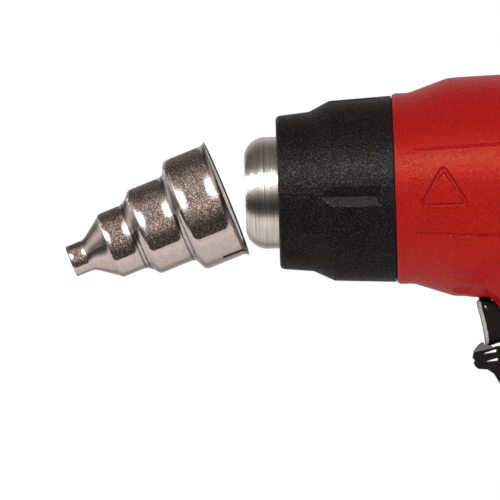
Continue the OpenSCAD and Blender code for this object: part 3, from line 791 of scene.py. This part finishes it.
def nozzle_steel():
    """Rolled sheet: each step's flank keeps a dark patch, partly mill scale and partly a painted dark
    reflection, with painted highlights at its ends; below it the sheet is bare and bright.
    """
    tilt, yaw = math.radians(NOZZLE_TILT), math.radians(NOZZLE_YAW)
    ahead = (-math.cos(tilt) * math.cos(yaw), math.cos(tilt) * math.sin(yaw), -math.sin(tilt))
    up = (-math.sin(tilt) * math.cos(yaw), math.sin(tilt) * math.sin(yaw), math.cos(tilt))
    right = (-math.sin(yaw), math.cos(yaw), 0.0)
    f = Finish("nozzle_steel", metallic=1.0)
    plain = f.along(NOZZLE_MOUTH, ahead)
    wobble = f.minus(f.noise(1.4, 4.0, 0.6), 0.5)
    s = f.plus(plain, f.times(wobble, 0.7))
    h = f.plus(f.along(NOZZLE_MOUTH, up), f.times(wobble, 0.5))
    scale, ends, crease_shade, lit = 0.0, 0.0, 0.0, 0.0
    for start, end, r in NOZZLE_STEPS:
        # The patch of scale, which also stands in for a painted dark reflection: its middle lies above the
        # nozzle's axis and its corners are round
        middle, tall, corner, half = 0.255 * r, 0.745 * r, 0.11 * r, (end - start) / 2
        across = f.size(f.minus(s, (start + end) / 2))
        a = f.most(f.minus(across, half - corner), 0.0)
        b = f.most(f.minus(f.size(f.minus(h, middle)), tall - corner), 0.0)
        edge = f.math("SQRT", f.plus(f.times(a, a), f.times(b, b)))
        patch = f.ramp(edge, corner + 0.12, corner - 0.12)
        beside = f.size(f.minus(h, 0.26 * r))
        # Painted highlight: a bright hot spot towards each end of the patch, near its middle height
        hot_spot = f.times(f.ramp(across, half * 0.5, half * 0.95), f.ramp(beside, 0.29 * r, 0.0), patch)
        scale = f.most(patch, scale)
        lit = f.most(f.times(f.ramp(beside, 0.42 * r, 0.05 * r), patch), lit)
        ends = f.most(hot_spot, ends)
    # Painted shade: a dark line along each crease beside a shoulder
    for place in NOZZLE_CREASES:
        crease_shade = f.most(f.ramp(f.size(f.minus(s, place)), 0.42, 0.1), crease_shade)
    speck, mottle = f.noise(0.38, 4.0, 0.75), f.noise(1.3, 6.0, 0.7)
    streak = f.streaks((900.0, 130.0, 130.0), 4.0, 0.65, (0, tilt, yaw))
    ends = f.times(ends, f.span(speck, 0.3, 1.4))

    # Above the axis the bare sheet is rougher as well, and darkened as a painted dark reflection
    far = f.vector_math("LENGTH", f.vector_math("CROSS_PRODUCT", f.offset(NOZZLE_MOUTH), ahead)[0])["Value"]
    share = f.math("DIVIDE", h, f.most(far, 0.5))
    upper = f.times(f.ramp(share, 0.02, 0.2), f.ramp(share, 0.93, 0.8), f.minus(1.0, scale))
    bare = f.fade(mottle, (0.58, 0.455, 0.425), (0.72, 0.59, 0.555))
    bare = f.mix(f.span(streak, 0.0, 0.25), bare, (0.46, 0.37, 0.35))
    bare = f.mix(upper, bare, (0.085, 0.068, 0.062))
    dark = f.blend(speck, [(0.38, (0.038, 0.0255, 0.0215)), (0.5, (0.145, 0.099, 0.085)),
                           (0.62, (0.57, 0.445, 0.385))])
    # Lower down the patch fades to an even dark brown, part of the painted reflection
    dark = f.mix(f.ramp(h, 2.0, -9.0, 0.0, 0.55), dark, (0.045, 0.035, 0.033))
    # The darker colours that the patch takes in its middle band, part of the painted reflection
    dull = f.blend(speck, [(0.38, (0.006, 0.005, 0.0045)), (0.5, (0.0225, 0.0165, 0.0142)),
                           (0.62, (0.112, 0.088, 0.076))])
    dark = f.join(f.times(lit, 0.92), dark, dull)
    base = f.join(scale, bare, dark)
    # Painted highlights: the hot spots at the patch ends
    base = f.mix(ends, base, (0.75, 0.71, 0.69))
    base = f.mix(f.times(crease_shade, 0.8), base, (0.060, 0.045, 0.042))
    rough = f.plus(f.times(scale, 0.26), f.span(mottle, 0.14, 0.24))
    rough = f.plus(f.minus(rough, f.times(ends, 0.2)), f.times(upper, 0.24))

    # Inside, the socket is painted dark as shade and the flared lip is painted near white as a highlight; a
    # dark line along the rim's edge and the slit are painted dark as shade
    flare = f.most(f.math("MULTIPLY_ADD", plain, -1 / FLARE_LENGTH, 1.0), 0.0)
    depth = f.minus(far, f.times(flare, flare, FLARE_RISE))
    inside = f.times(f.ramp(depth, NOZZLE_R - 0.16, NOZZLE_R - 0.28), f.ramp(s, 9.0, 8.0))
    lip = f.times(inside, f.ramp(s, 2.4, 1.8), f.ramp(share, -0.85, -0.7), f.ramp(plain, 0.30, 0.42))
    turned = math.radians(SLIT_TURN)
    toward = tuple(math.cos(turned) * a + math.sin(turned) * b for a, b in zip(up, right))
    beside = tuple(math.cos(turned) * b - math.sin(turned) * a for a, b in zip(up, right))
    # Painted shade over the slit, a little wider than its cut
    slit = f.ramp(f.size(f.along(NOZZLE_MOUTH, beside)), SLIT_HALF + 0.3, SLIT_HALF + 0.2)
    slit = f.times(slit, f.ramp(f.along(NOZZLE_MOUTH, toward), 1.0, 2.0),
                   f.ramp(plain, SLIT_LENGTH + 0.15, SLIT_LENGTH + 0.05))
    # Painted shade inside the socket, a painted dark line along the rim, the lip painted near white as a
    # highlight, and painted shade over the slit
    base = f.mix(inside, base, (0.03, 0.025, 0.024))
    base = f.mix(f.ramp(plain, RIM_LINE, RIM_LINE * 0.6), base, (0.012, 0.010, 0.010))
    base = f.mix(lip, base, (0.88, 0.87, 0.86))
    base = f.mix(slit, base, (0.010, 0.008, 0.008))
    grain = f.times(speck, f.math("MULTIPLY_ADD", scale, 0.85, 0.15))
    return f.done(base, rough, (mottle, 0.3, 0.02), (streak, 0.3, 0.012), (grain, 0.8, 0.07),
                  metallic=f.minus(1.0, lip))


def plain_metal(name, colour, rough):
    """Small machined or plated parts: tiny scratches and a slightly uneven gloss."""
    f = Finish(name, metallic=1.0)
    scratch = f.streaks((300.0, 2200.0, 260.0), 4.0, 0.7)
    shade = f.blend(f.noise(2.5, 5.0), [(0.3, scaled(colour, 0.72)), (0.65, colour)])
    return f.done(shade, f.span(scratch, rough - 0.06, rough + 0.12),
                  (scratch, 0.35, 0.004), (f.noise(0.8, 3.0), 0.3, 0.006))


def guard_plastic():
    """Heat-proof black plastic with a sparkling grain; the flank of each grip groove that faces the light is
    painted paler as painted light.
    """
    f = Finish("black_plastic", specular_ior_level=0.037)
    specks, normal = f.noise(0.42, 2.0, 0.6), f.axes(f.normal)
    beside, above = f.along((0, 0, 0), (0, 1, 0)), f.along((0, 0, 0), (0, 0, 1))
    lean = f.minus(f.times(normal["Y"], above), f.times(normal["Z"], beside))
    # Painted light: the lit flank of each groove is paler and speckled
    painted_lit_flank = f.times(f.ramp(lean, 7.0, 10.0), f.span(specks, -0.2, 1.0))
    glint = f.ramp(specks, 0.52, 0.62)
    base = f.fade(f.noise(9.0, 3.0), (0.0058, 0.0044, 0.0045), (0.0088, 0.0068, 0.0069))
    base = f.mix(glint, f.mix(painted_lit_flank, base, (0.048, 0.044, 0.043)), (0.032, 0.028, 0.027))
    return f.done(base, f.span(f.noise(0.7, 1.0), 0.24, 0.48), (f.noise(0.75, 1.0, 0.5), 1.0, 0.25),
                  (f.noise(3.0, 1.0), 0.4, 0.12), metallic=f.times(glint, 0.35))


def housing_plastic():
    """Red moulded plastic: spark-eroded grain, flow clouds, a soft sheen and the tongue below painted black
    as shade.
    """
    f = Finish("red_plastic", specular_ior_level=0.2, specular_tint=(0.4, 0.9, 0.45, 1.0))
    base = f.fade(f.noise(11.0), (0.300, 0.0003, 0.0040), (0.340, 0.0006, 0.0060))
    base = f.mix(f.ramp(f.noise(0.5, 2.0, 0.6), 0.48, 0.62), base, (0.44, 0.0060, 0.006))
    # Painted shade: the red tongue that holds the trigger's pin is painted near black
    across = f.size(f.along((PIVOT[0], 0, PIVOT[1]), (1, 0, 0)))
    beside = f.size(f.along((0, 0, 0), (0, 1, 0)))
    under = f.ramp(f.along((0, 0, -31.7), (0, 0, 1)), 0.1, -0.1)
    tongue = f.times(under, f.times(f.ramp(across, 2.8, 2.6), f.ramp(beside, 3.3, 3.2)))
    base = f.mix(tongue, base, (0.012, 0.010, 0.010))
    return f.done(base, f.span(f.noise(0.7, 1.0), 0.28, 0.48), (f.noise(0.75, 1.0, 0.5), 1.0, 0.14),
                  (f.noise(3.0, 1.0), 0.35, 0.10))


def edged_plastic(name, colour, rough, pale, top):
    """Black moulded plastic whose bevels towards the top, or else the front, are painted pale as a
    highlight.
    """
    f = Finish(name, specular_ior_level=0.04)
    normal = f.axes(f.normal)
    front = f.ramp(normal["Z"] if top else f.times(normal["X"], -1.0), 0.42, 0.58)
    side = f.ramp(f.size(normal["Y"]), 0.38, 0.56)
    ahead = f.ramp(f.along((PIVOT[0], 0, PIVOT[1]), (1, 0, 0)), 2.5, 1.0)
    specks = f.noise(1.2, 5.0, 0.7)
    base = f.fade(f.noise(12.0, 3.0), scaled(colour, 0.8), scaled(colour, 1.2))
    base = f.mix(f.span(specks, -0.4, 0.25), base, (0.024, 0.022, 0.022))
    # Painted highlight: bevels facing the top, or else the front, turn pale, speckled by the grain
    base = f.mix(f.times(front, side, ahead, f.span(specks, 0.75, 1.0)), base, pale)
    return f.done(base, f.span(f.noise(3.0), rough - 0.06, rough + 0.08),
                  (f.noise(0.5, 3.0, 0.6), 0.7, 0.12), (f.noise(5.0, 2.0), 0.25, 0.15))


def ceramic():
    """Unglazed heater ceramic: chalky, pitted and browned in patches."""
    f = Finish("ceramic")
    base = f.blend(f.noise(5.0, 5.0, 0.65), [(0.3, (0.50, 0.42, 0.31)), (0.55, (0.70, 0.64, 0.53)),
                                             (0.75, (0.78, 0.74, 0.65))])
    pits = f.noise(0.6, 4.0, 0.7)
    return f.done(base, f.span(pits, 0.75, 0.95), (pits, 0.8, 0.08), (f.noise(3.0, 3.0), 0.4, 0.1))


def mica():
    """Mica sheet: pale golden flakes with a layered gloss."""
    f = Finish("mica", coat_weight=0.25, coat_roughness=0.3)
    flakes = f.noise(2.2, 5.0, 0.7)
    base = f.blend(flakes, [(0.3, (0.36, 0.28, 0.17)), (0.5, (0.55, 0.45, 0.29)), (0.7, (0.68, 0.60, 0.44))])
    return f.done(base, f.span(flakes, 0.3, 0.6), (flakes, 0.5, 0.03))


def board():
    """Green circuit board with a woven texture under its varnish."""
    f = Finish("board", coat_weight=0.4, coat_roughness=0.2)
    weave = f.node("TexWave", {"Vector": f.place, "Scale": 420.0, "Distortion": 1.0}).outputs["Fac"]
    base = f.blend(weave, [(0.2, (0.012, 0.085, 0.035)), (0.8, (0.02, 0.13, 0.055))])
    return f.done(base, f.span(f.noise(2.0), 0.35, 0.5), (weave, 0.3, 0.02))


def laminations():
    """Stacked sheet steel: thin lines across the shaft."""
    f = Finish("laminations", metallic=1.0)
    stack = f.node("TexWave", {"Vector": f.place, "Scale": 320.0, "Distortion": 0.4},
                   bands_direction="X").outputs["Fac"]
    base = f.blend(stack, [(0.1, (0.12, 0.12, 0.125)), (0.6, (0.36, 0.36, 0.37))])
    return f.done(base, f.span(f.noise(1.5), 0.35, 0.55), (stack, 0.6, 0.05))


def make_materials():
    """One material for each slot of the record."""
    return dict([
        nozzle_steel(), barrel_steel(), guard_plastic(), housing_plastic(),
        mica(), ceramic(), board(), laminations(),
        plain_metal("plated_steel", (0.68, 0.68, 0.66), 0.28),
        plain_metal("heating_wire", (0.33, 0.27, 0.24), 0.42),
        plain_metal("copper", (0.72, 0.36, 0.20), 0.3),
        plain_metal("bronze", (0.55, 0.38, 0.20), 0.35),
        # For the soft grip and the trigger, the pale colour is the painted highlight on their bevels
        edged_plastic("soft_grip", (0.0075, 0.007, 0.007), 0.58, (0.19, 0.185, 0.183), True),
        edged_plastic("trigger_plastic", (0.008, 0.0074, 0.008), 0.4, (0.49, 0.49, 0.475), False),
        grained("gasket", (0.16, 0.15, 0.14), 0.8, 0.9, 0.05, 0.25),
        grained("inner_plastic", (0.022, 0.022, 0.024), 0.5, 0.6, 0.03),
        grained("magnet", (0.045, 0.045, 0.05), 0.6, 0.8, 0.05, 0.2, 0.2),
        grained("brush_holder", (0.10, 0.06, 0.035), 0.55, 0.8, 0.04),
        grained("white_plastic", (0.62, 0.61, 0.57), 0.42, 0.6, 0.02, 0.06),
    ])


# ---- Pieces

def build_barrel():
    """Spigot with its rolled-in end, the swage and the flange, in one thin sheet."""
    centre = SPIGOT_R - DOME_R
    end = math.degrees(math.acos((MOUTH_R - centre) / DOME_R))
    inner = DOME_R - SHEET
    inner_end = math.degrees(math.acos((MOUTH_R - centre) / inner))
    outer = arc(DOME_R, centre, DOME_R, 90 + end, 90, 16)
    outer += [(SWAGE_X - 0.4, SPIGOT_R), (SWAGE_X + 0.1, SPIGOT_R + 0.1), (SWAGE_X + 0.9, BARREL_R - 0.1),
              (SWAGE_X + 1.4, BARREL_R), (FLANGE_X - 0.8, BARREL_R), (FLANGE_X - 0.25, BARREL_R + 0.25),
              (FLANGE_X, BARREL_R + 0.8), (FLANGE_X, FLANGE_R)]
    inside = [(x + SHEET if r > BARREL_R + 0.5 else x, r - SHEET) for x, r in outer[17:-1]]
    back = [(FLANGE_X + SHEET, FLANGE_R), (FLANGE_X + SHEET, BARREL_R)] + inside[::-1][1:]
    back += arc(DOME_R, centre, inner, 90, 90 + inner_end, 16)
    return lathe("barrel_shell", outer + back, even_angles(256))


def nozzle_outline():
    """The nozzle's outer form as (radius, distance from its mouth)."""
    r, end = NOZZLE_R, NOZZLE_END_R
    rim = [(r + FLARE_RISE, 0.0), (r + 0.62, 0.18), (r + 0.32, 0.5), (r + 0.1, 0.9), (r, FLARE_LENGTH)]
    first = arc(r - 2, 12.3, 2, 0, 70) + [(14.25, 15.0), (13.8, 15.5), (13.52, 16.2), (13.45, 17.0)]
    second = arc(11.5, 25.8, 1.95, 0, 70) + [(10.9, 29.0), (10.45, 29.8), (10.22, 30.8)]
    third = arc(8.7, 37, 1.5, 0, 60) + [(5.55, 43.6), (4.98, 44.6), (end, 45.6)]
    return rim + first + second + third + [(end, NOZZLE_LENGTH - 0.2), (end - 0.08, NOZZLE_LENGTH)]


def build_nozzle():
    """The stepped nozzle, turned about its own axis, with the slit in its socket's rim."""
    outer = nozzle_outline()
    slope = np.gradient(np.array(outer), axis=0)
    slope /= np.linalg.norm(slope, axis=1, keepdims=True)
    inner = [(r - t[1] * NOZZLE_SHEET, s + t[0] * NOZZLE_SHEET) for (r, s), t in zip(outer, slope)]
    inner[0] = (outer[0][0] - NOZZLE_SHEET, 0.0)
    inner[-1] = (NOZZLE_END_R - NOZZLE_SHEET, NOZZLE_LENGTH)
    r, s = np.array(denser(outer + inner[::-1], 1.6)).T
    turn = even_angles(240)[:, None]
    local = np.stack(np.broadcast_arrays(r * np.cos(turn), r * np.sin(turn), s), -1).reshape(-1, 3)
    tilt = (Matrix.Rotation(math.radians(-NOZZLE_YAW), 3, "Z")
            @ Matrix.Rotation(math.radians(-90 - NOZZLE_TILT), 3, "Y"))
    turned = local @ np.array(tilt).T + NOZZLE_MOUTH
    obj = add_object("nozzle_shell", turned, grid_faces(len(turn), len(s)), 40.0)
    halves = (-SLIT_HALF, SLIT_HALF)
    corners = np.array([(x, y, z) for x in (15, 20) for y in halves for z in (-1, SLIT_LENGTH)])
    spin = Matrix.Rotation(math.radians(SLIT_TURN), 3, "Z")
    corners = corners @ np.array(tilt @ spin).T + NOZZLE_MOUTH
    sides = [(0, 1, 3, 2), (4, 6, 7, 5), (0, 4, 5, 1), (2, 3, 7, 6), (0, 2, 6, 4), (1, 5, 7, 3)]
    boolean(obj, add_object("slit_cutter", corners, sides))
    return obj


def guard_radius(x, r, angle):
    """Cuts the guard's outer radius down into its V-grooves."""
    slope = math.tan(math.radians(2.84))
    step = 2 * math.pi / GROOVES
    off = (angle - math.radians(GROOVE_ANGLE) + step / 2) % step - step / 2
    floor = 27.1 - GROOVE_DEPTH + (x - GROOVE_FRONT) * slope
    trough = floor / np.maximum(np.cos(off) - GROOVE_DEPTH / GROOVE_HALF * np.abs(np.sin(off)), 0.2)
    rear = (floor + (x - GROOVE_REAR) / math.tan(math.radians(42))) / np.cos(off)
    cut = np.maximum(trough, rear)
    soft = 0.22
    h = np.clip(0.5 + 0.5 * (cut - r) / soft, 0, 1)
    carved = cut * (1 - h) + r * h - soft * h * (1 - h)
    return np.where(r > 22.9, np.minimum(carved, r), r)


def build_guard():
    """The black guard: rounded lip, flare, four V-grooves and the stepped bore."""
    outline = eased([
        (GUARD_FRONT, 19.4, 0.8), (GUARD_FRONT, 23.0, 1.7), (20.0, 24.0, 1.6), (26.3, 27.1, 0.7),
        (GUARD_END + 0.3, 28.05, 0.15), (GUARD_END + 0.3, 24.0, 0.2), (28.5, 24.0, 0.5), (24.0, 21.4, 0.5),
        (14.0, 21.4, 0.5), (12.0, 19.4, 0.5)])
    near = np.concatenate([np.linspace(-8.5, 8.5, 69), np.linspace(10, 80, 48)])
    angles = np.sort(np.concatenate([near + GROOVE_ANGLE + 90 * k for k in range(GROOVES)]) % 360)
    return lathe("guard_shell", denser(outline, 0.42), np.radians(angles), guard_radius, 30.0)


def build_lugs():
    """The guard's three bayonet lugs, short arcs of a rounded bar."""
    bar = eased([(36.0, 22.3, 0.15), (38.4, 22.3, 0.15), (38.4, 24.4, 0), (36.0, 24.4, 0)], 2)
    wide, rows = 24, 14
    points, faces = [], []
    for first in range(0, 360, 120):
        size = len(points), rows, len(bar)
        faces += side_faces(*size) + end_faces(*size)
        for i in range(rows):
            a = math.radians(first + wide * i / (rows - 1))
            points += [(x, r * math.sin(a), r * math.cos(a)) for x, r in bar]
    return add_object("guard_lugs", points, faces)


def build_housing():
    """Both housing shells, split along the parting line and cut flat at the rear."""
    def near(x, y, z):
        u, w = in_handle(x, z)
        skin = housing_skin(x, y, z)
        on_skin = np.abs(skin) < 1.6
        ring = np.abs(polygon(x, z, TRIANGLE) - 0.8) < 1.5
        lines = lowest(*[line_distance(x, z, *line) for line in PANEL_LINES]) < 1.0
        scoop = np.abs(sphere(x, np.abs(y), z, *SCOOP)) < 1.0
        edges = np.abs(housing_openings(x, y, z)) < 0.9
        lip = (x < NOSE_X + 2.0) & (np.hypot(y, z) > 26)
        return on_skin & (((ring | lines) & (np.abs(y) > 8)) | scoop | edges | lip)

    both = add_object("housing_both", *solid_mesh(
        housing, (43.0, -37.0, -164.0), (173.0, 37.0, 37.0), 1.25, near, (0.8, 0.45, 0.26)))
    slice_off(both, (HOUSING_END, 0, 0), (1, 0, 0))
    halves = []
    for name, side in (("shell_left", -1), ("shell_right", 1)):
        half = link_object(name, both.data.copy())
        half.data.name = name
        slice_off(half, (0, side * SEAM, 0), (0, -side, 0))
        halves.append(half)
    bpy.data.objects.remove(both)
    return halves


def build_front_grip():
    def near(x, y, z):
        u, w = in_handle(x, z)
        nose = (w > -27) & (u < -17)
        grooves = np.abs(ribs(u, w, y, *FRONT_RIBS)) < 0.9
        return nose | (grooves & (handle_side(u, w, y) > 0))

    return add_object("grip_front", *solid_mesh(
        front_grip, (62.0, -20.0, -150.0), (108.0, 20.0, -41.0), 1.0, near, (0.6, 0.34),
        (((63.0, 73.0), (-9.9, 9.9), (-56.0, -45.5)), 0.3)), 40.0)


def build_rear_grip():
    def near(x, y, z):
        u, w = in_handle(x, z)
        return (np.abs(ribs(u, w, y, *REAR_RIBS)) < 0.9) & (handle_side(u, w, y) > 0)

    return add_object("grip_rear", *solid_mesh(
        rear_grip, (98.0, -20.0, -147.0), (136.0, 20.0, -43.0), 1.0, near, (0.6,)), 40.0)


def build_trigger():
    return add_object("trigger_lever", *solid_mesh(
        trigger, (67.5, -8.5, -50.0), (83.0, 8.5, -32.6), 0.4), 30.0)


def build_pin():
    """The trigger's pin, with thinner ends."""
    profile = [(-7.85, 0.0), (-7.82, 0.16), (-7.7, 0.32), (-7.5, PIN_END), (-PIN_STEP, PIN_END),
               (-PIN_STEP, PIN_R)]
    profile += [(-y, r) for y, r in profile[::-1]]
    turn = even_angles(40)
    points = [(PIVOT[0] + r * math.cos(a), y, PIVOT[1] + r * math.sin(a)) for y, r in profile for a in turn]
    return add_object("pin_shell", points, side_faces(0, len(profile), len(turn)))


def build_coils():
    """Six helical heater windings, joined in turn at the ends of their channels."""
    ring, coil, wire, pitch = 8.6, 1.85, 0.32, 1.5
    start, end = 11.6, 57.4
    turns = (end - start) / pitch
    t = np.linspace(0, turns * 2 * math.pi, int(turns * 14))
    paths = []
    for k in range(6):
        a = math.radians(60 * k)
        y0, z0 = -ring * math.sin(a), ring * math.cos(a)
        x = start + (end - start) * t / t[-1]
        paths.append(np.stack([x, y0 + coil * np.sin(t), z0 + coil * np.cos(t)], 1))
    for k in range(5):
        ends = [paths[k][0 if k % 2 == 0 else -1], paths[k + 1][0 if k % 2 == 0 else -1]]
        bow = (ends[0] + ends[1]) / 2 + [(-0.3 if k % 2 == 0 else 0.3), 0, 0]
        s = np.linspace(0, 1, 9)[:, None]
        paths.append(ends[0] * (1 - s) ** 2 + bow * 2 * s * (1 - s) + ends[1] * s * s)
    return add_object("heater_windings", *tube_mesh(paths, wire, 8), 60.0)


def place(piece, body, slot, node):
    """Gives a piece its body, material slot and the CAD node it stands for."""
    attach(piece, body)
    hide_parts(node)
    piece.data.materials.clear()
    piece.data.materials.append(MATERIALS[slot])


def dress_cad_nodes():
    """Gives every CAD node the material of its slot and crisp, smooth shading."""
    slots = {part["node"]: part["material_slot"] for part in frame["record"]["subparts"]}
    for name, obj in frame["nodes"].items():
        obj.data.materials.clear()
        obj.data.materials.append(MATERIALS[slots[name]])
        shade(obj, 32.0)


# ---- Scene

FRAME_WIDTH = 0.1505          # what the picture's width covers at the barrel's axis, in metres
CAMERA_FAR = 5.0
CAMERA_ROLL = math.radians(1.87)


def add_camera():
    data = bpy.data.cameras.new("camera")
    data.sensor_width = 36.0
    data.lens = 36.0 * CAMERA_FAR / FRAME_WIDTH
    level, rise = math.cos(CAMERA_ROLL), math.sin(CAMERA_ROLL)
    pose = Matrix(((level, 0, -rise), (rise, 0, level), (0, -1, 0))).transposed().to_4x4()
    pose.translation = (-0.0089, -CAMERA_FAR, -0.017)
    camera = link_object("camera", data)
    camera.matrix_world = pose
    bpy.context.scene.camera = camera


# Brightness that shiny surfaces see, by twice the angle at which a surface facing the camera tips up
STUDIO = (
    (-180, 0.5), (-150, 0.42), (-136, 0.28), (-114, 0.75), (-94, 0.8), (-77, 0.85), (-64, 1.0),
    (-55, 0.8), (-49, 0.35), (-43, 0.12), (-30, 0.05), (-18, 0.08), (-8, 0.19), (0, 0.42), (6, 0.85),
    (14, 1.35), (22, 1.7), (24, 30.0), (32, 30.0), (34, 1.7), (40, 1.25), (46, 0.65), (55, 0.32),
    (66, 0.21), (84, 0.16), (102, 0.155), (121, 0.27), (136, 0.48), (152, 0.7), (180, 0.7),
)
BRIGHTEST = 30.0
BACKDROP = 0.5                # brightness straight behind the object
BACKDROP_EDGE = (0.78, 0.97)  # how far a direction leans away from the camera where it fades in
EVEN_LIGHT = 0.74


def add_world():
    """White for the camera, even light for the object and a shaped studio for its gloss."""
    world = bpy.data.worlds.new("studio")
    bpy.context.scene.world = world
    world.use_nodes = True
    world.node_tree.nodes.clear()
    n = Nodes(world.node_tree)

    def background(colour, strength):
        return n.node("Background", {"Color": colour, "Strength": strength}).outputs[0]

    def choose(factor, a, b):
        return n.node("MixShader", {0: factor, 1: a, 2: b}).outputs[0]

    axes = n.axes(n.node("TexCoord").outputs["Generated"])
    angle = n.math("ARCTAN2", axes["Z"], n.minus(1.0, axes["Y"]))
    studio = n.blend(n.ramp(angle, -math.pi / 2, math.pi / 2, kind="LINEAR"),
                     [((degrees + 180) / 360, (level / BRIGHTEST,) * 3) for degrees, level in STUDIO])
    studio = n.mix(n.ramp(axes["Y"], *BACKDROP_EDGE), studio, (BACKDROP / BRIGHTEST,) * 3)
    paths = n.node("LightPath").outputs
    lit = choose(paths["Is Glossy Ray"], background((1.0, 0.985, 0.97, 1.0), EVEN_LIGHT),
                 background(studio, BRIGHTEST))
    n.node("OutputWorld", {0: choose(paths["Is Camera Ray"], lit, background((1.0, 1.0, 1.0, 1.0), 1.0))})


def add_lamp(name, place, aim, size, watts):
    data = bpy.data.lights.new(name, "AREA")
    data.shape = "RECTANGLE"
    data.size, data.size_y = size
    data.energy = watts
    lamp = link_object(name, data)
    lamp.location = place
    lamp.rotation_euler = (Vector(aim) - Vector(place)).to_track_quat("-Z", "Y").to_euler()
    lamp.visible_glossy = False
    lamp.visible_camera = False


def add_floor(level):
    """A large pale floor that keeps the object's shadow and is otherwise white."""
    mesh = bpy.data.meshes.new("floor")
    half = 4.0
    corners = [(-half, -half, level), (half, -half, level), (half, half, level), (-half, half, level)]
    mesh.from_pydata(corners, [], [(0, 1, 2, 3)])
    f = Finish("floor", base_color=(0.86, 0.86, 0.86, 1.0), roughness=0.9, specular_ior_level=0.1,
               emission_color=(1, 1, 1, 1), emission_strength=0.3)
    mesh.materials.append(f.material)
    floor = link_object("floor", mesh)
    floor.visible_glossy = False


MATERIALS = make_materials()
add_camera()
add_world()
add_lamp("key", (-0.25, -0.9, 0.75), (0.05, 0, -0.03), (0.7, 0.5), 3.4)
add_lamp("fill", (0.5, -0.9, -0.05), (0.05, 0, -0.05), (0.6, 0.6), 1.5)
add_floor(cad_box[0][2] - 0.001)

dress_cad_nodes()
nozzle_shell = build_nozzle()
nozzle_shell.visible_glossy = False
place(nozzle_shell, "nozzle", "nozzle_steel", "reducer_nozzle")
place(build_barrel(), "gun", "barrel_steel", "barrel_tube")
place(build_guard(), "guard", "black_plastic", "guard_sleeve")
place(build_lugs(), "guard", "black_plastic", "guard_sleeve")
left_shell, right_shell = build_housing()
place(left_shell, "gun", "red_plastic", "housing_left")
place(right_shell, "gun", "red_plastic", "housing_right")
place(build_front_grip(), "gun", "soft_grip", "front_grip")
place(build_rear_grip(), "gun", "soft_grip", "rear_grip")
place(build_trigger(), "trigger", "trigger_plastic", "trigger")
place(build_pin(), "gun", "plated_steel", "trigger_pin")
place(build_coils(), "gun", "heating_wire", "heating_coil")

bpy.context.scene.view_settings.view_transform = "Standard"
